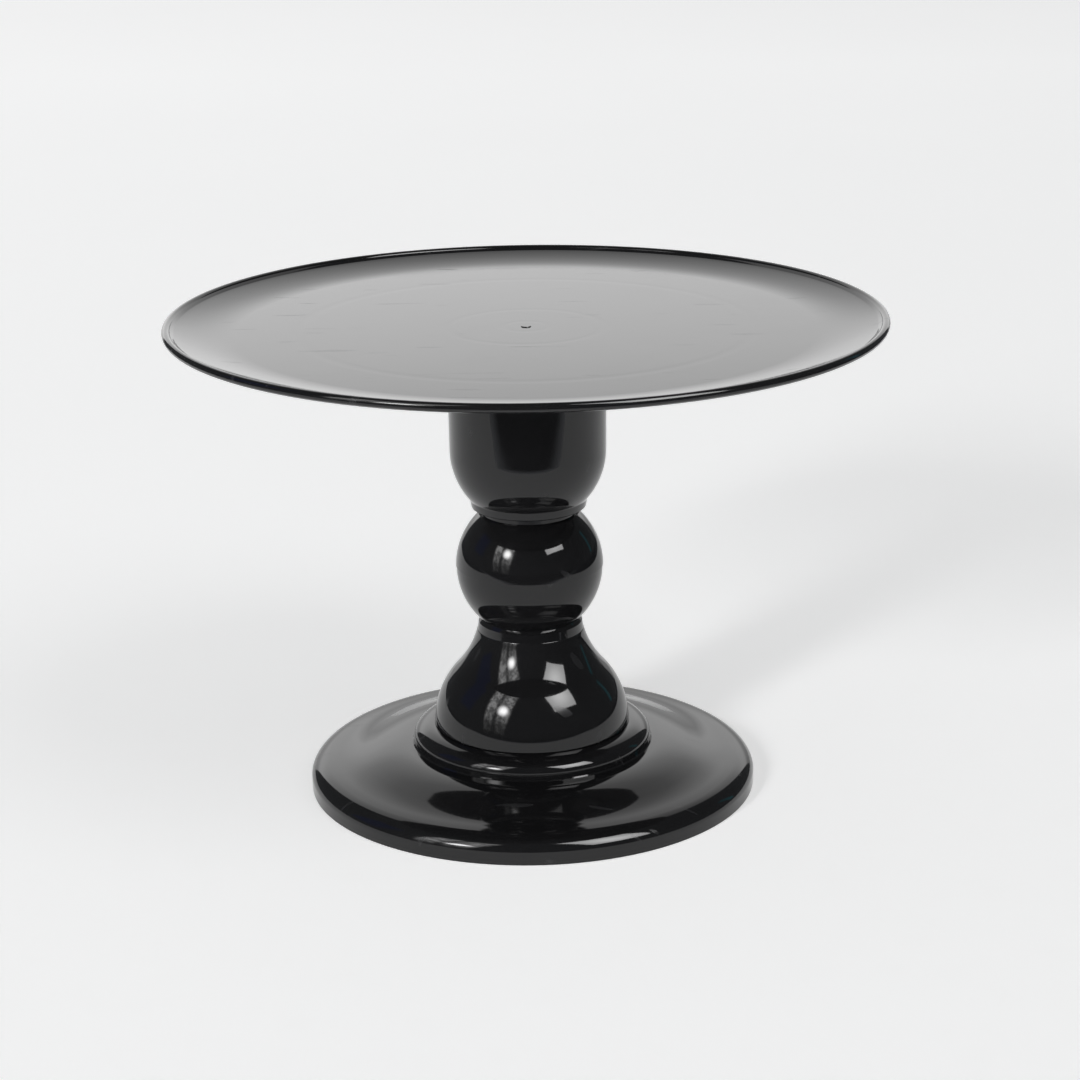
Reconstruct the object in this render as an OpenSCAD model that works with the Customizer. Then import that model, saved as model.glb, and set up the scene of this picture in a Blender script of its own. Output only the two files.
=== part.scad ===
// Demountable cake stand: a dished plate on a column of stacked hollow mouldings.
// Everything is turned about the Z axis, and the base stands on Z = 0.

/* [Plate] */
// Outer diameter of the plate
plate_d = 320; // [280:1:360]
// Height of the flat floor that carries the cake
floor_z = 213.7; // [205:0.1:225]
// Height of the lip above the floor
lip_h = 5.65; // [5.5:0.05:7]
// Radius of the bead round the rim
bead_r = 1.9; // [1.6:0.1:2.1]
// Wall thickness of the plate
plate_wall = 2.4; // [2:0.1:3]

/* [Column] */
// Wall thickness of the column shells
wall = 2.4; // [2:0.1:2.8]
// Outer radius of the cup just under its rounded foot
cup_r = 35.3; // [33:0.1:38]
// Radius of the round at the foot of the cup
cup_round_r = 34.5; // [32:0.5:36]
// Outer radius of the collar at the foot of the cup
collar_r = 26; // [25:0.1:26.2]
// Outer radius of the upper half of the ball
ball_r = 33.6; // [32.4:0.1:34.2]
// How much further out the upper half stands than the lower half
ball_step = 0.3; // [0:0.05:0.5]
// Largest radius of the bell
bell_r = 45; // [44:0.1:46]
// Outer radius of the flat faces where the ball meets its neighbours
neck_r = 22; // [21:0.1:23]

/* [Base] */
// Outer diameter of the base
base_d = 205; // [196:0.5:215]
// Height of the upright edge of the base
edge_h = 4.9; // [4:0.1:6]
// Outer radius of the ring under the bell
ring_r = 54.8; // [53:0.1:57]
// Height of the seat that the bell stands on
seat_z = 28; // [27:0.1:29]

/* [Tie rod and nut] */
// Thread diameter of the tie rod
rod_d = 6; // [5:1:6]
// Span of the wings of the nut
wing_span = 32; // [26:1:40]
// Radial clearance of the rod in the webs
rod_gap = 0.4; // [0.2:0.1:0.6]

/* [Hidden] */
$fn = 128;

black = "#141416";
steel = "#b9bcc0";
brass = "#c9a24a";

plate_r = plate_d / 2;
plate_under = floor_z - plate_wall;
base_r = base_d / 2;
rod_r = rod_d / 2;
rod_hole_r = rod_r + rod_gap;

// Levels of the joints between the mouldings
ball_z = 103.2;
seam_z = 104;
ball_bottom = 79.2;
ball_top = 128;
collar_z = 131.3;
collar_top = 135.6;
recess_depth = 2.8;
spigot_depth = 2.6;
spigot_r = 19.1;
spigot_wall = 2.2;
spigot_gap = 0.2;

// Levels of the hand nut and its washers, from the web of the base downwards
web_under = seat_z - 6.6;
flat_washer_r = 9;
flat_washer_t = 1.6;
lock_washer_r = 5.6;
lock_washer_t = 1.6;
nut_seat = web_under - flat_washer_t - lock_washer_t;
nut_h = 8;
rod_bottom = 5;
boss_r = 10;
boss_h = 15;
insert_r = 4.5;
insert_h = 11;
rod_top = plate_under - 4.2;

// Points on an arc about (cr, cz), from angle a0 to angle a1
function arc(cr, cz, r, a0, a1, n) =
    [for (i = [0:n]) let (a = a0 + (a1 - a0) * i / n) [cr + r * cos(a), cz + r * sin(a)]];

// Points on an ellipse about (cr, cz)
function oval(cr, cz, rr, rz, a0, a1, n) =
    [for (i = [0:n]) let (a = a0 + (a1 - a0) * i / n) [cr + rr * cos(a), cz + rz * sin(a)]];

function backwards(list) = [for (i = [len(list) - 1:-1:0]) list[i]];

module turned(points) {
    rotate_extrude() polygon(points);
}

module ring(r_in, r_out, z0, z1) {
    turned([[r_in, z0], [r_out, z0], [r_out, z1], [r_in, z1]]);
}

// Plate: flat floor, a rise that steepens towards the edge, and a bead round the rim
collar_wall = 2.1;
outer_rib_r = 101;
rise_round_r = 95;
rise_end_r = plate_r - 5.4;
rise_a = 15.5;
rise_start_r = rise_end_r - rise_round_r * sin(rise_a);
rise_end_z = floor_z + rise_round_r * (1 - cos(rise_a));
bead_cr = plate_r - bead_r;
bead_z = floor_z + lip_h - bead_r;

// Rise of the plate's upper face, or of the face that lies the given depth below it
function rise_line(depth) =
    arc(rise_start_r, floor_z + rise_round_r, rise_round_r + depth, -90, -90 + rise_a, 12);

module plate_skin() {
    turned(concat(
        [[0, plate_under], [0, floor_z]],
        rise_line(0),
        [[rise_end_r + 0.5, rise_end_z + 0.25], [rise_end_r + 0.9, rise_end_z + 0.6]],
        arc(bead_cr, bead_z, bead_r, 155, -65, 22),
        [[bead_cr - 0.3, rise_end_z - 2]],
        backwards(rise_line(plate_wall))
    ));
}

module plate_ribs() {
    rib_t = 1.6;
    rib_h = 5;
    for (a = [0:60:300])
        rotate(a)
            translate([boss_r - 1, -rib_t / 2, plate_under - rib_h])
                cube([cup_r - wall - boss_r - 1, rib_t, rib_h + 0.5]);
}

module plate() {
    seat_collar_r = cup_r + 0.5 - wall - 0.25;
    seat_collar_h = 5;
    outer_rib_h = 3;
    color(black) {
        difference() {
            union() {
                plate_skin();
                translate([0, 0, plate_under - boss_h]) cylinder(r = boss_r, h = boss_h + 0.5);
                plate_ribs();
            }
            translate([0, 0, plate_under - boss_h - 1]) cylinder(r = insert_r, h = insert_h + 1);
            translate([0, 0, plate_under - boss_h]) cylinder(r = rod_r + 0.3, h = boss_h - 2.4);
        }
        ring(seat_collar_r - collar_wall, seat_collar_r, plate_under - seat_collar_h, plate_under + 0.5);
        ring(outer_rib_r - 1.2, outer_rib_r, plate_under - outer_rib_h, plate_under + 0.5);
        gate_mark();
    }
}

// Trimmed gate in the middle of the upper face
module gate_mark() {
    gate_r = 2.4;
    gate_h = 0.35;
    translate([0, 0, floor_z - 0.5]) cylinder(r1 = gate_r + 0.3, r2 = gate_r - 0.3, h = gate_h + 0.5);
}

// Brass insert in the boss of the plate, with a groove round its middle
module plate_insert() {
    z0 = plate_under - boss_h;
    groove = 0.6;
    color(brass)
        turned([
            [rod_r, z0], [insert_r, z0], [insert_r, z0 + 4.5], [insert_r - groove, z0 + 5],
            [insert_r - groove, z0 + 6], [insert_r, z0 + 6.5], [insert_r, z0 + insert_h], [rod_r, z0 + insert_h]
        ]);
}

// Cup: nearly straight side, round foot, collar and a spigot that centres it on the ball
cup_flare = 0.5;
cup_round_z = 158;

function cup_line(depth, a_end) = concat(
    arc(cup_r - cup_round_r, cup_round_z, cup_round_r - depth, a_end, 0, 18),
    [[cup_r + cup_flare - depth, plate_under]]
);

module cup() {
    fillet = 2;
    foot_a = -asin((cup_round_z - collar_top) / cup_round_r);
    fillet_cr = cup_r - cup_round_r + (cup_round_r + fillet) * cos(foot_a);
    fillet_cz = cup_round_z + (cup_round_r + fillet) * sin(foot_a);
    inner_a = -asin((cup_round_z - collar_z - wall) / (cup_round_r - wall));
    color(black)
        turned(concat(
            [
                [rod_hole_r, collar_z], [spigot_r - spigot_wall, collar_z],
                [spigot_r - spigot_wall, ball_top - spigot_depth], [spigot_r, ball_top - spigot_depth],
                [spigot_r, ball_top], [neck_r - 0.5, ball_top], [neck_r - 0.5, collar_z],
                [collar_r - 0.4, collar_z], [collar_r, collar_z + 0.4]
            ],
            arc(fillet_cr, fillet_cz, fillet, 170, 180 + foot_a, 6),
            cup_line(0, foot_a),
            backwards(cup_line(wall, inner_a)),
            [[rod_hole_r, collar_z + wall]]
        ));
}

// Ball: two half shells, lapped at the seam
lap_h = 3;
lap_gap = 0.15;

module ball_upper() {
    top_a = asin((ball_top - ball_z) / ball_r);
    inner_r = ball_r - wall;
    web_z = ball_top - recess_depth;
    web_a = asin((web_z - wall - ball_z) / inner_r);
    low_a = asin((seam_z - ball_z) / ball_r);
    color(black)
        turned(concat(
            arc(0, ball_z, ball_r, low_a, top_a, 18),
            [
                [spigot_r + spigot_gap, ball_top], [spigot_r + spigot_gap, web_z],
                [rod_hole_r, web_z], [rod_hole_r, web_z - wall]
            ],
            arc(0, ball_z, inner_r, web_a, asin((seam_z - ball_z) / inner_r), 14)
        ));
}

module ball_lower() {
    outer_r = ball_r - ball_step;
    inner_r = outer_r - wall;
    lap_r = ball_r - wall - lap_gap;
    low_a = -asin((ball_z - ball_bottom) / outer_r);
    web_a = -asin((ball_z - ball_bottom - wall) / inner_r);
    color(black)
        turned(concat(
            [[rod_hole_r, ball_bottom], [spigot_r - spigot_wall, ball_bottom],
                [spigot_r - spigot_wall, ball_bottom - spigot_depth], [spigot_r, ball_bottom - spigot_depth],
                [spigot_r, ball_bottom]],
            arc(0, ball_z, outer_r, low_a, asin((seam_z - ball_z) / outer_r), 18),
            [[lap_r, seam_z], [lap_r - 0.35, seam_z + lap_h], [lap_r - 1.8, seam_z + lap_h]],
            [[lap_r - 1.8, seam_z], [inner_r - 0.9, ball_z - 2]],
            arc(0, ball_z, inner_r, -9, web_a, 12),
            [[rod_hole_r, ball_bottom + wall]]
        ));
}

// Bell: an ogee made of part of an oval and a concave arc, with a bevelled neck
bell_oval_w = 32;
bell_oval_h = 37.5;
bell_oval_z = 27;
flare_r = 43;
ogee_a = 43;
oval_a = atan(tan(ogee_a) * bell_oval_h / bell_oval_w);
neck_line_z = 73;
flare_cr = bell_r - bell_oval_w + bell_oval_w * cos(oval_a) + flare_r * cos(ogee_a);
flare_cz = bell_oval_z + bell_oval_h * sin(oval_a) + flare_r * sin(ogee_a);

function bell_line(depth, low_a, top_z) = concat(
    oval(bell_r - bell_oval_w, bell_oval_z, bell_oval_w - depth, bell_oval_h - depth, low_a, oval_a, 20),
    arc(flare_cr, flare_cz, flare_r + depth, 180 + ogee_a,
        180 + asin((flare_cz - top_z) / (flare_r + depth)), 14)
);

module bell() {
    low_a = asin((seat_z + 0.8 - bell_oval_z) / bell_oval_h);
    web_top = ball_bottom - recess_depth;
    color(black)
        turned(concat(
            [[bell_r - wall - 1.4, seat_z], [bell_r - 1.4, seat_z]],
            bell_line(0, low_a, neck_line_z),
            [
                [24.3, neck_line_z + 0.25], [23.7, 77], [neck_r + 0.5, 78.4], [neck_r, ball_bottom],
                [spigot_r + spigot_gap, ball_bottom], [spigot_r + spigot_gap, web_top],
                [rod_hole_r, web_top], [rod_hole_r, web_top - wall]
            ],
            backwards(bell_line(wall, low_a, web_top - wall))
        ));
}

// Base: low hat with an upright edge, a quarter-round ring and a web for the tie rod
shoulder_w = 10.2;
shoulder_h = 7.1;
shoulder_a = 78;
ring_lip_z = 22.1;
seat_r = bell_r - 1;
centring_r = bell_r - wall - 1.7;
centring_wall = 2.2;
centring_h = 2.6;
rib_count = 8;

// Top of the base from the shoulder inwards: brow, brim, slope and crown, with the slopes where they meet
brow_slope = 8.6;
brim_slope = 5;
hat_slope = 18;
crown_slope = 1.5;
top_end_r = ring_r + 1.6;
top_start_r = base_r - shoulder_w + shoulder_w * cos(shoulder_a);
top_start_z = edge_h + shoulder_h * sin(shoulder_a);
top_span = 77.4 * (sin(brow_slope) - sin(brim_slope)) + 48 * (sin(hat_slope) - sin(brim_slope))
    + 5.1 + 61.8 * (sin(hat_slope) - sin(crown_slope));
top_scale = (top_start_r - top_end_r) / top_span;
brow_r = 77.4 * top_scale;
brim_r = 48 * top_scale;
slope_w = 5.1 * top_scale;
crown_r = 61.8 * top_scale;
brow_cr = top_start_r - brow_r * sin(brow_slope);
brow_cz = top_start_z - brow_r * cos(brow_slope);
brim_cr = brow_cr + (brow_r + brim_r) * sin(brim_slope);
brim_cz = brow_cz + (brow_r + brim_r) * cos(brim_slope);
crown_cr = brim_cr - (brim_r + crown_r) * sin(hat_slope) - slope_w;
crown_cz = brim_cz - (brim_r + crown_r) * cos(hat_slope) + slope_w * tan(hat_slope);
ring_foot_z = crown_cz + crown_r * cos(crown_slope);

// Top of the base from the shoulder to the foot of the ring, or the line that lies the given depth below it
function top_line(depth) = concat(
    arc(brow_cr, brow_cz, brow_r - depth, 90 - brow_slope, 90 - brim_slope, 3),
    arc(brim_cr, brim_cz, brim_r + depth, -91 - brim_slope, -90 - hat_slope, 8),
    arc(crown_cr, crown_cz, crown_r - depth, 90 - hat_slope, 90 - crown_slope, 10)
);

module base_shell() {
    turned(concat(
        [[base_r - wall, 0], [base_r, 0]],
        oval(base_r - shoulder_w, edge_h, shoulder_w, shoulder_h, 0, shoulder_a - 2, 16),
        top_line(0),
        [[ring_r + 0.6, ring_foot_z + 0.1], [ring_r + 0.1, ring_foot_z + 0.6], [ring_r, ring_lip_z]],
        oval(seat_r + 0.6, ring_lip_z, ring_r - seat_r - 0.9, seat_z + 0.4 - ring_lip_z, 0, 90, 16),
        [[seat_r, seat_z], [centring_r, seat_z], [centring_r, seat_z + centring_h],
            [centring_r - centring_wall, seat_z + centring_h], [centring_r - centring_wall, web_under + wall],
            [rod_hole_r, web_under + wall], [rod_hole_r, web_under]],
        [[centring_r - centring_wall, web_under], [seat_r - 1, seat_z - wall], [ring_r - 6, seat_z - 3.2],
            [ring_r - 2.4, ring_lip_z - 0.5], [ring_r - 2, ring_foot_z - wall]],
        backwards(top_line(wall)),
        oval(base_r - shoulder_w, edge_h, shoulder_w - wall, shoulder_h - wall, shoulder_a - 4, 0, 12)
    ));
}

module base_ribs() {
    rib_t = 1.6;
    rib_z = edge_h + 2.2;
    for (i = [0:rib_count - 1])
        rotate([90, 0, 360 * i / rib_count])
            translate([0, 0, -rib_t / 2])
                linear_extrude(rib_t)
                    polygon(concat(
                        [[30, web_under + 0.6], [30, web_under - 3], [ring_r - 2, web_under - 6.4]],
                        [[ring_r + 9, rib_z], [base_r - 14, rib_z], [base_r - 9, edge_h + 5.5]],
                        top_line(wall / 2),
                        [[ring_r - 1.3, ring_foot_z + 0.3], [ring_r - 2.2, ring_lip_z - 0.1]],
                        [[ring_r - 7, seat_z - 2.6]],
                        [[seat_r - 1.5, seat_z - 2], [centring_r - 2, web_under + 0.6]]
                    ));
}

module base() {
    color(black) {
        base_shell();
        base_ribs();
    }
}

// Rod with chamfered ends
module tie_rod() {
    chamfer = 0.8;
    color(steel)
        turned([
            [0, rod_bottom], [rod_r - chamfer, rod_bottom], [rod_r, rod_bottom + chamfer],
            [rod_r, rod_top - chamfer], [rod_r - chamfer, rod_top], [0, rod_top]
        ]);
}

module flat_washer() {
    color(steel) ring(rod_hole_r, flat_washer_r, web_under - flat_washer_t, web_under);
}

module lock_washer() {
    slot_w = 1.2;
    color(steel)
        difference() {
            ring(rod_hole_r - 0.2, lock_washer_r, nut_seat, nut_seat + lock_washer_t);
            translate([0, -slot_w / 2, nut_seat - 1]) cube([lock_washer_r + 1, slot_w, lock_washer_t + 2]);
        }
}

// Wing nut: round barrel, two flat wings with round tips
module wing_nut() {
    barrel_r = 6.2;
    wing_t = 2.4;
    wing_tip_r = 4.2;
    wing_low = nut_seat - nut_h - 2;
    color(steel)
        difference() {
            union() {
                turned([
                    [0, nut_seat - nut_h], [barrel_r - 1.2, nut_seat - nut_h], [barrel_r, nut_seat - 1.2],
                    [barrel_r, nut_seat - 0.4], [barrel_r - 0.4, nut_seat], [0, nut_seat]
                ]);
                for (side = [0, 180])
                    rotate([90, 0, side])
                        translate([0, 0, -wing_t / 2])
                            linear_extrude(wing_t) {
                                translate([wing_span / 2 - wing_tip_r, wing_low + wing_tip_r])
                                    circle(r = wing_tip_r);
                                polygon([
                                    [4, nut_seat - 2], [4, nut_seat - nut_h + 1],
                                    [wing_span / 2 - wing_tip_r, wing_low + 0.4],
                                    [wing_span / 2 - wing_tip_r - 1, wing_low + 2 * wing_tip_r - 0.2]
                                ]);
                            }
            }
            translate([0, 0, nut_seat - nut_h - 1]) cylinder(r = rod_r + 0.05, h = nut_h + 2);
        }
}

plate();
plate_insert();
cup();
ball_upper();
ball_lower();
bell();
base();
tie_rod();
flat_washer();
lock_washer();
wing_nut();
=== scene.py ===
"""Looks for the cake stand: procedural materials on the CAD parts, a plain pale set,
soft studio light and the camera. Metres, +Z up, camera on the -Y side."""
import math

import bmesh
import bpy
from mathutils import Matrix, Vector

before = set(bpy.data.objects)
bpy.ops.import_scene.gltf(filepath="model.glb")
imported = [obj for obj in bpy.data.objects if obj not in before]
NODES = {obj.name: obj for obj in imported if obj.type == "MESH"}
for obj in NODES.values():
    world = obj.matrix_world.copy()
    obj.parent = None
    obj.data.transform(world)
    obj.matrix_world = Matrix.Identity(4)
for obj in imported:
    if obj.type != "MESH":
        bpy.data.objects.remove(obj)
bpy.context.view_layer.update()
SCENE = bpy.context.scene
MM = 0.001

# ---------------------------------------------------------------- camera
CAMERA_BACK = 1.164
CAMERA_HEIGHT = 0.478
CAMERA_PITCH = math.radians(17.34)
CAMERA_YAW = math.radians(0.24)
CAMERA_ROLL = math.radians(-0.8)
CAMERA_LENS = 89.6
SENSOR_WIDTH = 36.0


def make_camera():
    """Camera in front of the stand, looking down on it, with the small tilt of a hand-set tripod."""
    data = bpy.data.cameras.new("camera")
    data.lens = CAMERA_LENS
    data.sensor_width = SENSOR_WIDTH
    data.clip_start = 0.05
    data.clip_end = 50.0
    cam = bpy.data.objects.new("camera", data)
    SCENE.collection.objects.link(cam)
    cp, sp = math.cos(CAMERA_PITCH), math.sin(CAMERA_PITCH)
    cr, sr = math.cos(CAMERA_ROLL), math.sin(CAMERA_ROLL)
    forward = Vector((math.sin(CAMERA_YAW) * cp, math.cos(CAMERA_YAW) * cp, -sp))
    right = Vector((math.cos(CAMERA_YAW), -math.sin(CAMERA_YAW), 0))
    up = right.cross(forward)
    turned_right = right * cr + up * sr
    turned_up = up * cr - right * sr
    columns = Matrix((turned_right, turned_up, -forward)).transposed()
    cam.matrix_world = Matrix.Translation((0, -CAMERA_BACK, CAMERA_HEIGHT)) @ columns.to_4x4()
    SCENE.camera = cam


make_camera()
SCENE.view_settings.view_transform = "Standard"
SCENE.view_settings.look = "None"


# ---------------------------------------------------------------- node helpers
class Graph:
    """Short spellings for building a material's node tree."""

    def __init__(self, name):
        self.material = bpy.data.materials.new(name)
        self.material.use_nodes = True
        self.tree = self.material.node_tree
        self.tree.nodes.clear()
        self.output = self.tree.nodes.new("ShaderNodeOutputMaterial")
        self.places = self.tree.nodes.new("ShaderNodeTexCoord").outputs["Object"]

    def node(self, kind, **settings):
        made = self.tree.nodes.new(kind)
        for key, value in settings.items():
            setattr(made, key, value)
        return made

    def join(self, source, target):
        """Links an output to an input, or sets the input to a plain value."""
        if isinstance(source, (int, float, tuple)):
            target.default_value = source
        else:
            self.tree.links.new(source, target)

    def math(self, operation, a, b=0.0):
        made = self.node("ShaderNodeMath", operation=operation)
        self.join(a, made.inputs[0])
        self.join(b, made.inputs[1])
        return made.outputs[0]

    def times(self, a, b):
        return self.math("MULTIPLY", a, b)

    def minus(self, a, b):
        return self.math("SUBTRACT", a, b)

    def absolute(self, a):
        return self.math("ABSOLUTE", a)

    def total(self, first, *others):
        for other in others:
            first = self.math("ADD", first, other)
        return first

    def hypot(self, a, b):
        return self.math("SQRT", self.total(self.times(a, a), self.times(b, b)))

    def moved(self, offset):
        made = self.node("ShaderNodeVectorMath", operation="ADD")
        self.join(self.places, made.inputs[0])
        self.join(offset, made.inputs[1])
        return made.outputs[0]

    def xyz(self):
        made = self.node("ShaderNodeSeparateXYZ")
        self.join(self.places, made.inputs[0])
        return made.outputs

    def noise(self, scale, detail=2.0, rough=0.5, vector=None, distortion=0.0):
        made = self.node("ShaderNodeTexNoise")
        self.join(vector or self.places, made.inputs["Vector"])
        made.inputs["Scale"].default_value = scale
        made.inputs["Detail"].default_value = detail
        made.inputs["Roughness"].default_value = rough
        made.inputs["Distortion"].default_value = distortion
        return made.outputs["Fac"]

    def cells(self, scale, vector):
        made = self.node("ShaderNodeTexVoronoi")
        self.join(vector, made.inputs["Vector"])
        made.inputs["Scale"].default_value = scale
        return made.outputs

    def span(self, value, low, high, to_low=0.0, to_high=1.0, smooth=False):
        """Maps low..high to to_low..to_high, held at the ends."""
        made = self.node("ShaderNodeMapRange")
        made.interpolation_type = "SMOOTHSTEP" if smooth else "LINEAR"
        sockets = ("Value", "From Min", "From Max", "To Min", "To Max")
        for key, given in zip(sockets, (value, low, high, to_low, to_high)):
            self.join(given, made.inputs[key])
        return made.outputs[0]

    def ramp(self, value, stops):
        """Grey levels at places from 0 to 1, straight between them."""
        made = self.node("ShaderNodeValToRGB")
        while len(made.color_ramp.elements) < len(stops):
            made.color_ramp.elements.new(0.5)
        for element, (place, level) in zip(made.color_ramp.elements, stops):
            element.position = place
            element.color = (level, level, level, 1)
        self.join(value, made.inputs[0])
        return made.outputs[0]

    def mix(self, factor, a, b):
        made = self.node("ShaderNodeMix", data_type="RGBA")
        self.join(factor, made.inputs[0])
        for socket, value in ((made.inputs[6], a), (made.inputs[7], b)):
            self.join((*value, 1.0) if isinstance(value, tuple) else value, socket)
        return made.outputs[2]

    def bump(self, height):
        """Height in metres."""
        made = self.node("ShaderNodeBump")
        made.inputs["Strength"].default_value = 1.0
        made.inputs["Distance"].default_value = 1.0
        self.join(height, made.inputs["Height"])
        return made.outputs[0]

    def emission(self, strength, colour=(1, 1, 1)):
        made = self.node("ShaderNodeEmission")
        self.join((*colour, 1) if isinstance(colour, tuple) else colour, made.inputs["Color"])
        self.join(strength, made.inputs["Strength"])
        return made.outputs[0]

    def surface(self, **values):
        """Principled surface with the given inputs, as the finished material."""
        made = self.node("ShaderNodeBsdfPrincipled")
        for key, value in values.items():
            self.join(value, made.inputs[key.replace("_", " ")])
        return self.finished(made.outputs[0])

    def finished(self, shader):
        self.tree.links.new(shader, self.output.inputs[0])
        return self.material


# ---------------------------------------------------------------- black plastic
PLASTIC_IOR = 1.46
PLASTIC_ROUGH = 0.046
BLACK_LOW = (0.0080, 0.0080, 0.0086)
BLACK_HIGH = (0.0105, 0.0105, 0.0112)
SMEAR_TONE = (0.020, 0.020, 0.021)
SCRATCH_TONE = (0.25, 0.25, 0.26)
DUST_TONE = (0.22, 0.215, 0.20)
# A dust cell holds a speck where its random colour comes this close to white
DUST_MARGIN = 0.012
# Shallow rings sunk into the plate's faces: radius, half width and depth
SINK_RINGS = ((0.010, 0.0030, 0.010 * MM), (0.0345, 0.0035, 0.012 * MM), (0.101, 0.0045, 0.014 * MM))


def mould_height(g, places, ripple, rings):
    """Slow and medium ripples from the mould, orange peel, and sink rings."""
    height = g.total(g.times(g.noise(55, 1.0, 0.4, places), 0.030 * MM * ripple),
                     g.times(g.noise(170, 1.0, 0.5, places), 0.004 * MM * ripple),
                     g.times(g.noise(900, 1.0, 0.5, places), 0.0004 * MM))
    if rings:
        x, y, _ = g.xyz()
        radius = g.hypot(x, y)
        for place, width, depth in rings:
            away = g.absolute(g.minus(radius, place))
            height = g.total(height, g.span(away, 0.0, width, -depth, 0.0, smooth=True))
    return height


def scratch_lines(g, seed):
    """Thin short lines: the crests of a noise stretched one way."""
    turned = g.node("ShaderNodeMapping")
    turned.inputs["Rotation"].default_value = (0.3, 0.9, 0.7 + seed)
    turned.inputs["Scale"].default_value = (40, 330, 90)
    g.join(g.places, turned.inputs["Vector"])
    return g.span(g.noise(1.0, 0.0, 0.5, turned.outputs[0]), 0.772, 0.79)


def dust_specks(g, places, dust):
    """Small specks near the middles of a few cells."""
    cells = g.cells(420, places)
    chosen = g.math("GREATER_THAN", cells["Color"], 1.0 - DUST_MARGIN * dust)
    return g.times(chosen, g.span(cells["Distance"], 0.16, 0.06))


def plastic(name, seed, haze=0.0, ripple=1.0, rings=(), dust=1.0):
    """Black gloss moulded plastic with smears of handling, fine scratches and dust."""
    g = Graph(name)
    places = g.moved((seed * 0.37, seed * 0.61, seed * 0.17))
    height = mould_height(g, places, ripple, rings)
    lines = scratch_lines(g, seed)
    speck = dust_specks(g, places, dust)
    smear = g.span(g.noise(24, 3.0, 0.6, places, 0.6), 0.45, 0.75, smooth=True)
    rough = g.total(PLASTIC_ROUGH + haze, g.times(smear, 0.030), g.times(lines, 0.12),
                    g.times(speck, 0.5), g.times(g.noise(300, 2.0, 0.6, places), 0.012))
    tone = g.mix(g.noise(40, 2.0, 0.5, places), BLACK_LOW, BLACK_HIGH)
    tone = g.mix(g.times(smear, 0.16 + 2.0 * haze), tone, SMEAR_TONE)
    tone = g.mix(g.times(lines, 0.05), tone, SCRATCH_TONE)
    tone = g.mix(speck, tone, DUST_TONE)
    return g.surface(Base_Color=tone, Roughness=rough, IOR=PLASTIC_IOR, Normal=g.bump(height))


# ---------------------------------------------------------------- metal
ZINC_LOW = (0.50, 0.50, 0.49)
ZINC_HIGH = (0.66, 0.66, 0.69)
ZINC_DULL = (0.33, 0.33, 0.34)
BRASS_LOW = (0.52, 0.36, 0.13)
BRASS_HIGH = (0.74, 0.55, 0.24)
# Painted shade: the grey the thread's roots are darkened to
THREAD_ROOT_PAINTED_SHADE = (0.12, 0.12, 0.12)
THREAD_PITCH = 1.0 * MM
# The thread's crests stand above its roots by half this share of the pitch
THREAD_STEEPNESS = 0.9


def turning_marks(g, across, along, seed):
    """Fine marks of a lathe, that change with the two given lengths."""
    marks = g.node("ShaderNodeCombineXYZ")
    g.join(across, marks.inputs[0])
    g.join(along, marks.inputs[1])
    g.join(seed, marks.inputs[2])
    return g.noise(1.0, 2.0, 0.6, marks.outputs[0])


def zinc(name, seed, turned_face=True, thread=0.0):
    """Zinc-plated steel: fine turning marks, dull patches, slight yellow-blue of passivation,
    and a helical thread where a pitch is given, with painted shade in its roots."""
    g = Graph(name)
    x, y, z = g.xyz()
    lathe = turning_marks(g, g.times(g.hypot(x, y), 5200.0), g.times(z, 3800.0), seed)
    cloud = g.noise(420, 3.0, 0.6)
    tone = g.mix(cloud, ZINC_LOW, ZINC_HIGH)
    tone = g.mix(g.span(g.noise(700, 4.0, 0.7), 0.56, 0.72), tone, ZINC_DULL)
    rough = g.total(0.24, g.times(cloud, 0.18), g.times(lathe, 0.10))
    mark_depth = 0.004 * MM if turned_face else 0.0012 * MM
    height = g.total(g.times(lathe, mark_depth), g.times(g.noise(2600, 2.0), 0.003 * MM))
    if thread:
        turn = g.math("DIVIDE", g.math("ARCTAN2", y, x), math.tau)
        phase = g.math("FRACT", g.total(g.math("DIVIDE", z, thread), turn))
        crest = g.absolute(g.minus(phase, 0.5))
        height = g.total(height, g.times(crest, THREAD_STEEPNESS * thread))
        # Painted shade: the thread's roots are darkened
        tone = g.mix(g.span(crest, 0.10, 0.0), tone, THREAD_ROOT_PAINTED_SHADE)
    return g.surface(Base_Color=tone, Roughness=rough, Metallic=1.0, Normal=g.bump(height))


def brass(name):
    """Brass of the moulded-in insert: turned, slightly dull."""
    g = Graph(name)
    z = g.xyz()[2]
    lathe = turning_marks(g, g.times(z, 4200.0), 0.0, 0.0)
    cloud = g.noise(500, 3.0, 0.6)
    tone = g.mix(cloud, BRASS_LOW, BRASS_HIGH)
    rough = g.total(0.22, g.times(cloud, 0.20))
    height = g.times(lathe, 0.004 * MM)
    return g.surface(Base_Color=tone, Roughness=rough, Metallic=1.0, Normal=g.bump(height))


# ---------------------------------------------------------------- even shading
SHARP_ANGLE = math.radians(20)
WELD_DISTANCE = 0.004 * MM


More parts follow.
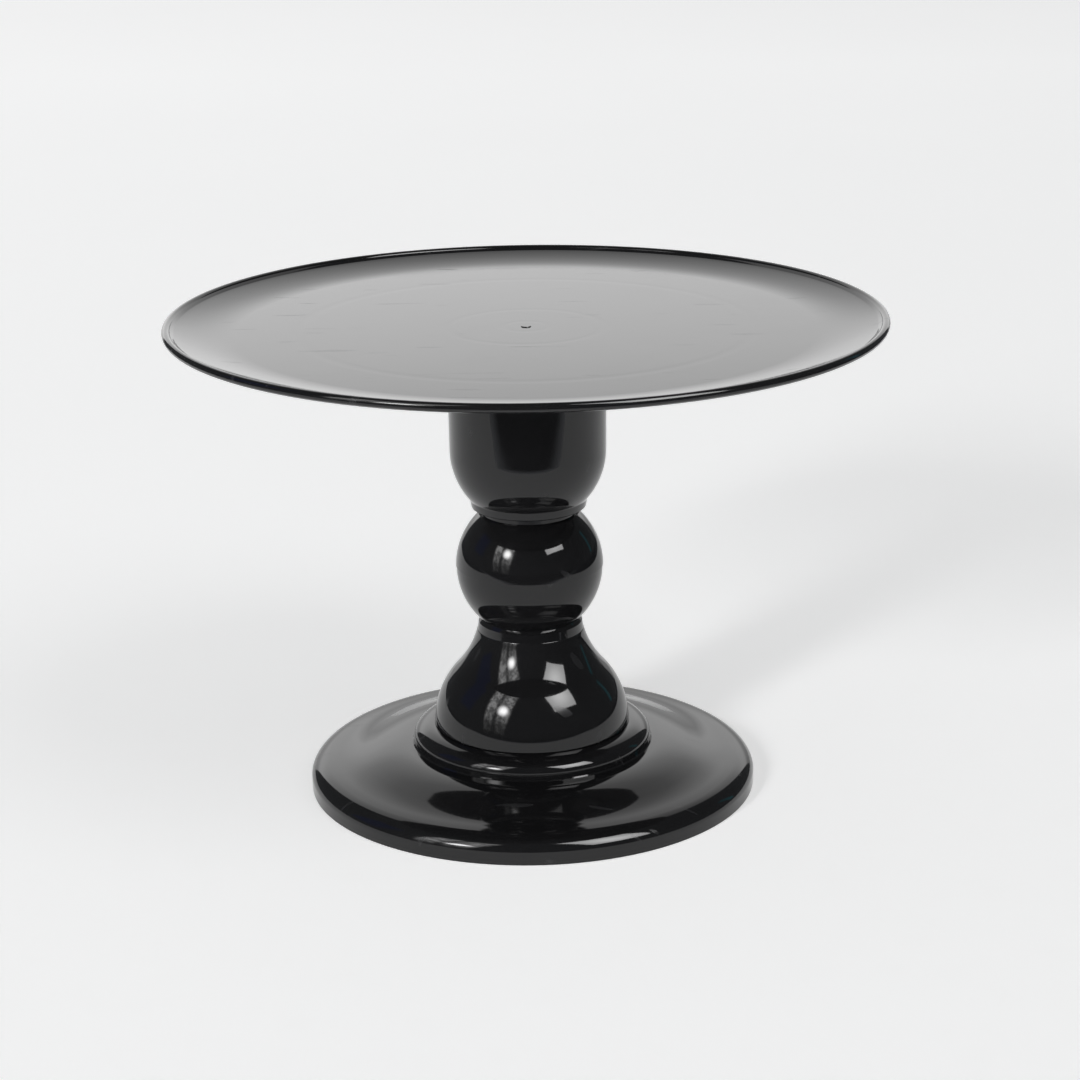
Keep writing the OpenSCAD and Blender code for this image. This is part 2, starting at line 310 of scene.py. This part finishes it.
def shading_group():
    """Joins the CAD patches at their seams and marks only real corners as sharp."""
    tree = bpy.data.node_groups.new("join_patches", "GeometryNodeTree")
    tree.interface.new_socket("Geometry", in_out="INPUT", socket_type="NodeSocketGeometry")
    tree.interface.new_socket("Geometry", in_out="OUTPUT", socket_type="NodeSocketGeometry")
    start = tree.nodes.new("NodeGroupInput")
    end = tree.nodes.new("NodeGroupOutput")
    weld = tree.nodes.new("GeometryNodeMergeByDistance")
    weld.inputs["Distance"].default_value = WELD_DISTANCE
    angle = tree.nodes.new("GeometryNodeInputMeshEdgeAngle")
    sharp = tree.nodes.new("FunctionNodeCompare")
    sharp.operation = "GREATER_THAN"
    sharp.inputs[1].default_value = SHARP_ANGLE
    normals = tree.nodes.new("GeometryNodeSetMeshNormal")
    normals.mode = "SHARPNESS"
    normals.inputs["Remove Custom"].default_value = True
    tree.links.new(start.outputs[0], weld.inputs["Geometry"])
    tree.links.new(angle.outputs[0], sharp.inputs[0])
    tree.links.new(weld.outputs[0], normals.inputs["Mesh"])
    tree.links.new(sharp.outputs[0], normals.inputs["Edge Sharpness"])
    tree.links.new(normals.outputs[0], end.inputs[0])
    return tree


JOIN_PATCHES = shading_group()


def dress(node, material):
    """Gives a CAD node its material, and shading that runs evenly over its curves."""
    obj = NODES[node]
    join = obj.modifiers.new("join_patches", "NODES")
    join.node_group = JOIN_PATCHES
    weigh = obj.modifiers.new("even_shading", "WEIGHTED_NORMAL")
    weigh.mode = "FACE_AREA_WITH_ANGLE"
    weigh.keep_sharp = True
    slots = obj.data.materials
    slots.clear()
    slots.append(material)


dress("plate", plastic("plastic_plate", 1.0, haze=0.02, ripple=0.35, rings=SINK_RINGS, dust=0.6))
dress("cup", plastic("plastic_cup", 2.0))
dress("ball_upper", plastic("plastic_ball_upper", 3.0, ripple=1.2))
dress("ball_lower", plastic("plastic_ball_lower", 4.0, ripple=1.1))
dress("bell", plastic("plastic_bell", 5.0, ripple=1.1))
dress("base", plastic("plastic_base", 6.0, ripple=0.8))
dress("plate_insert", brass("brass_insert"))
dress("tie_rod", zinc("zinc_rod", 1.0, thread=THREAD_PITCH))
dress("flat_washer", zinc("zinc_washer", 2.0))
dress("lock_washer", zinc("zinc_lock_washer", 3.0, turned_face=False))
dress("wing_nut", zinc("zinc_wing_nut", 4.0, turned_face=False))

# ---------------------------------------------------------------- set
SET_RADIUS = 6.0
TARGET = Vector((0, 0, 0.10))
# Painted light: the floor's glow that lifts its shade, near and far, and how much it falls for each metre
# to the right
FLOOR_GLOW = 0.648
FLOOR_GLOW_FAR = 0.83
FLOOR_GLOW_FALL = 0.035
FLOOR_DROP = 0.0002
# Edges of the pale table; beyond them reflections see a dark room
TABLE_LEFT = -0.95
TABLE_RIGHT = 0.72
TABLE_FRONT = -0.39
TABLE_EDGE_SOFT = 0.12
FLAG_RISE = 0.0012
ROOM_LEVEL = 0.055
ROOM_EDGE_LEVEL = 0.62
ROOM_TINT = (0.9, 0.95, 1.05)
ROOM_EDGE_TINT = (0.94, 0.97, 1.03)
FLOOR_LOW = (0.795, 0.795, 0.795)
FLOOR_HIGH = (0.810, 0.810, 0.809)
FLOOR_MARK = (0.780, 0.780, 0.778)
# Surround that the camera sees, at the floor and above
DOME_LOW = 0.83
DOME_HIGH = 0.89
DOME_RISE = 1.6
# Paper behind the stand: place, size, and its grey from its foot to its top
BACKDROP_Y = 1.0
BACKDROP_HALF = 0.66
BACKDROP_TOP = 1.55
BACKDROP_LEVEL = 1.62
BACKDROP_FALL = 0.16
BACKDROP_GREYS = ((0.0, 0.40), (0.10, 0.46), (0.145, 0.68), (0.17, 0.84), (0.24, 0.95), (0.30, 0.90),
                  (0.37, 0.72), (0.60, 0.50), (1.0, 0.45))
WORLD_TINT = (0.92, 0.96, 1.0, 1)
WORLD_LEVEL = 0.10


def link(mesh, name, see):
    """Adds a set piece that only the named kinds of ray meet."""
    made = bpy.data.objects.new(name, mesh)
    SCENE.collection.objects.link(made)
    kinds = see.split()
    made.visible_camera = "camera" in kinds
    made.visible_diffuse = "diffuse" in kinds
    made.visible_glossy = "glossy" in kinds
    made.visible_transmission = False
    made.visible_shadow = "shadow" in kinds
    return made


def sheet(name, corners, see, material):
    """One flat set piece."""
    mesh = bpy.data.meshes.new(name)
    mesh.from_pydata(corners, [], [tuple(range(len(corners)))])
    made = link(mesh, name, see)
    made.data.materials.append(material)
    return made


def glow(name, level, colour):
    """Even emission."""
    g = Graph(name)
    return g.finished(g.emission(level, colour))


def floor_material():
    """Matt pale card with faint marks and a painted glow, brighter far away and darker to the right, so
    that shade on it stays light.
    """
    g = Graph("set_floor")
    x, y, _ = g.xyz()
    wide = g.noise(2.2, 3.0, 0.5)
    fine = g.noise(60, 4.0, 0.6)
    tone = g.mix(wide, FLOOR_LOW, FLOOR_HIGH)
    tone = g.mix(g.span(fine, 0.55, 0.85), tone, FLOOR_MARK)
    diffuse = g.node("ShaderNodeBsdfDiffuse")
    g.join(tone, diffuse.inputs["Color"])
    level = g.span(y, -0.3, 2.5, FLOOR_GLOW, FLOOR_GLOW_FAR)
    # Painted light: the floor glows, more far away and less to the right
    painted_glow = g.emission(g.minus(level, g.times(x, FLOOR_GLOW_FALL)), tone)
    both = g.node("ShaderNodeAddShader")
    g.join(diffuse.outputs[0], both.inputs[0])
    g.join(painted_glow, both.inputs[1])
    return g.finished(both.outputs[0])


def dome_material():
    """Pale surround for the camera: a little brighter above, as a paper backdrop."""
    g = Graph("set_dome")
    z = g.xyz()[2]
    return g.finished(g.emission(g.span(z, -0.05, DOME_RISE, DOME_LOW, DOME_HIGH, smooth=True)))


def soft_gloom():
    """Dark room in front of the table, from a soft edge."""
    g = Graph("set_room_soft_gloom")
    y = g.xyz()[1]
    level = g.span(y, TABLE_FRONT - TABLE_EDGE_SOFT, TABLE_FRONT, ROOM_LEVEL, ROOM_EDGE_LEVEL, smooth=True)
    return g.finished(g.emission(level, ROOM_EDGE_TINT))


def build_floor():
    angles = [math.tau * i / 96 for i in range(96)]
    rim = [(SET_RADIUS * math.cos(a), SET_RADIUS * math.sin(a), 0) for a in angles]
    floor = sheet("set_floor", rim, "camera diffuse glossy shadow", floor_material())
    floor.location.z = -FLOOR_DROP


def build_room():
    """Dark sheets over the floor beyond the table's edges, for reflections only."""
    far = SET_RADIUS
    gloom = glow("set_room_gloom", ROOM_LEVEL, ROOM_TINT)
    sides = (("front", -far, far, -far, TABLE_FRONT),
             ("left", -far, TABLE_LEFT, TABLE_FRONT, far),
             ("right", TABLE_RIGHT, far, TABLE_FRONT, far),
             ("rear", TABLE_LEFT, TABLE_RIGHT, BACKDROP_Y, far))
    for side, x0, x1, y0, y1 in sides:
        corners = [(x0, y0, FLAG_RISE), (x1, y0, FLAG_RISE), (x1, y1, FLAG_RISE), (x0, y1, FLAG_RISE)]
        sheet("set_room_" + side, corners, "glossy", soft_gloom() if side == "front" else gloom)


def build_dome():
    mesh = bpy.data.meshes.new("set_dome")
    shell = bmesh.new()
    bmesh.ops.create_uvsphere(shell, u_segments=64, v_segments=32, radius=SET_RADIUS * 0.98)
    shell.to_mesh(mesh)
    shell.free()
    dome = link(mesh, "set_dome", "camera")
    dome.data.materials.append(dome_material())


def build_backdrop():
    """Pale paper behind the stand, for reflections only, brightest low down and to the left."""
    g = Graph("set_backdrop")
    x, y, _ = g.xyz()
    half_top = BACKDROP_TOP / 2
    grey = g.ramp(g.math("DIVIDE", g.total(y, half_top), BACKDROP_TOP), BACKDROP_GREYS)
    level = g.times(g.minus(grey, g.times(x, BACKDROP_FALL)), BACKDROP_LEVEL)
    corners = [(-BACKDROP_HALF, -half_top, 0), (BACKDROP_HALF, -half_top, 0),
               (BACKDROP_HALF, half_top, 0), (-BACKDROP_HALF, half_top, 0)]
    made = sheet("set_backdrop", corners, "glossy", g.finished(g.emission(level)))
    upright = Matrix.Rotation(math.pi / 2, 4, "X")
    made.matrix_world = Matrix.Translation((0, BACKDROP_Y, half_top)) @ upright


def build_world():
    world = bpy.data.worlds.new("world")
    SCENE.world = world
    world.use_nodes = True
    back = world.node_tree.nodes["Background"]
    back.inputs["Color"].default_value = WORLD_TINT
    back.inputs["Strength"].default_value = WORLD_LEVEL


# ---------------------------------------------------------------- lights and their cards
RIGHT_BOX_MIDDLE = 12.5
RIGHT_BOX_EDGE = 7.2
# Left box: cloth in its folds and between them, and the hot core
CLOTH_DARK = 1.4
CLOTH_LIGHT = 4.8
CORE_LEVEL = 26.0
NAVY_LEVEL = 0.20
NAVY_TINT = (0.25, 0.35, 1.0)
TEAL_LEVEL = 0.35
TEAL_TINT = (0.25, 0.85, 1.0)


def place_facing(obj, azimuth, elevation, distance):
    """Sets obj at that distance from the target and turns it to face it.
    Azimuth 0 is in front, towards -Y, and it grows to the right."""
    a, e = math.radians(azimuth), math.radians(elevation)
    out = Vector((math.sin(a) * math.cos(e), -math.cos(a) * math.cos(e), math.sin(e)))
    across = Vector((math.cos(a), math.sin(a), 0))
    upward = across.cross(out)
    if upward.z < 0:
        upward = -upward
    columns = Matrix((across, upward, across.cross(upward))).transposed()
    obj.matrix_world = Matrix.Translation(TARGET + out * distance) @ columns.to_4x4()


def half_size(distance, angle):
    """Half the width that fills that angle in degrees at that distance."""
    return distance * math.tan(math.radians(angle / 2))


def card(name, azimuth, elevation, distance, wide, tall, material):
    """A glowing card of that angular size in degrees, seen in reflections only."""
    w, h = half_size(distance, wide), half_size(distance, tall)
    made = sheet(name, [(-w, -h, 0), (w, -h, 0), (w, h, 0), (-w, h, 0)], "glossy", material(w, h))
    place_facing(made, azimuth, elevation, distance)


def across_card(g, w, h):
    """Places on a card, from -1 to 1 each way."""
    x, y, _ = g.xyz()
    return g.math("DIVIDE", x, w), g.math("DIVIDE", y, h)


def right_box(w, h):
    """Square softbox: even cloth, brighter in its middle."""
    g = Graph("set_right_box")
    u, v = across_card(g, w, h)
    level = g.span(g.hypot(u, v), 0.0, 1.2, RIGHT_BOX_MIDDLE, RIGHT_BOX_EDGE, smooth=True)
    return g.finished(g.emission(level))


def left_box(w, h):
    """Tall light of two creased cloth panels that fade downwards, with a hot core in one of them."""
    g = Graph("set_left_box")
    u, v = across_card(g, w, h)
    crease = g.noise(7.0, 3.0, 0.6, None, 0.8)
    gap = g.span(g.absolute(g.minus(u, -0.10)), 0.05, 0.25, 0.7, 0.0, smooth=True)
    fade = g.span(v, -0.75, 0.0, 0.15, 1.0, smooth=True)
    side = g.span(g.absolute(u), 0.8, 1.0, 1.0, 0.2, smooth=True)
    panels = g.times(g.minus(1.0, gap), g.times(fade, side))
    body = g.times(g.span(crease, 0.38, 0.64, CLOTH_DARK, CLOTH_LIGHT, smooth=True), panels)
    # The core is an oval, half as wide and a quarter as tall as a circle in u and v
    from_core = g.hypot(g.times(g.minus(u, 0.35), 2.0), g.times(g.minus(v, -0.02), 4.0))
    core = g.span(from_core, 0.15, 1.1, CORE_LEVEL, 0.0, smooth=True)
    ends = g.span(g.absolute(v), 0.85, 1.0, 1.0, 0.2)
    return g.finished(g.emission(g.times(g.total(body, core), ends)))


def tinted(name, level, colour):
    """A card's material of one tint."""
    return lambda w, h: glow(name, level, colour)


def add_lamp(lamp):
    """Adds a lamp that neither the camera nor the gloss sees; the gloss meets the cards instead."""
    SCENE.collection.objects.link(lamp)
    lamp.visible_glossy = False
    lamp.visible_camera = False


def area_light(name, azimuth, elevation, distance, wide, tall, power):
    """Soft light of that angular size in degrees."""
    data = bpy.data.lights.new(name, "AREA")
    data.shape = "ELLIPSE"
    data.size = 2 * half_size(distance, wide)
    data.size_y = 2 * half_size(distance, tall)
    data.energy = power
    made = bpy.data.objects.new(name, data)
    add_lamp(made)
    place_facing(made, azimuth, elevation, distance)


def sky_light(name, strength, spread):
    """Very wide light from straight above."""
    data = bpy.data.lights.new(name, "SUN")
    data.energy = strength
    data.angle = math.radians(spread)
    add_lamp(bpy.data.objects.new(name, data))


build_floor()
build_room()
build_dome()
build_backdrop()
build_world()
card("set_right_box", azimuth=47.4, elevation=47.0, distance=1.6, wide=30, tall=35, material=right_box)
card("set_left_box", azimuth=-45.6, elevation=29.5, distance=1.5, wide=32, tall=60, material=left_box)
card("set_navy", azimuth=-93.0, elevation=27.4, distance=1.6, wide=20, tall=30,
     material=tinted("set_navy", NAVY_LEVEL, NAVY_TINT))
card("set_teal", azimuth=116.0, elevation=13.4, distance=1.6, wide=4, tall=22,
     material=tinted("set_teal", TEAL_LEVEL, TEAL_TINT))
area_light("light_key", azimuth=-35.0, elevation=23.5, distance=6.0, wide=8, tall=15, power=145.0)
area_light("light_right", azimuth=47.4, elevation=48.5, distance=5.0, wide=30, tall=32, power=40.0)
sky_light("light_sky", strength=0.15, spread=120)
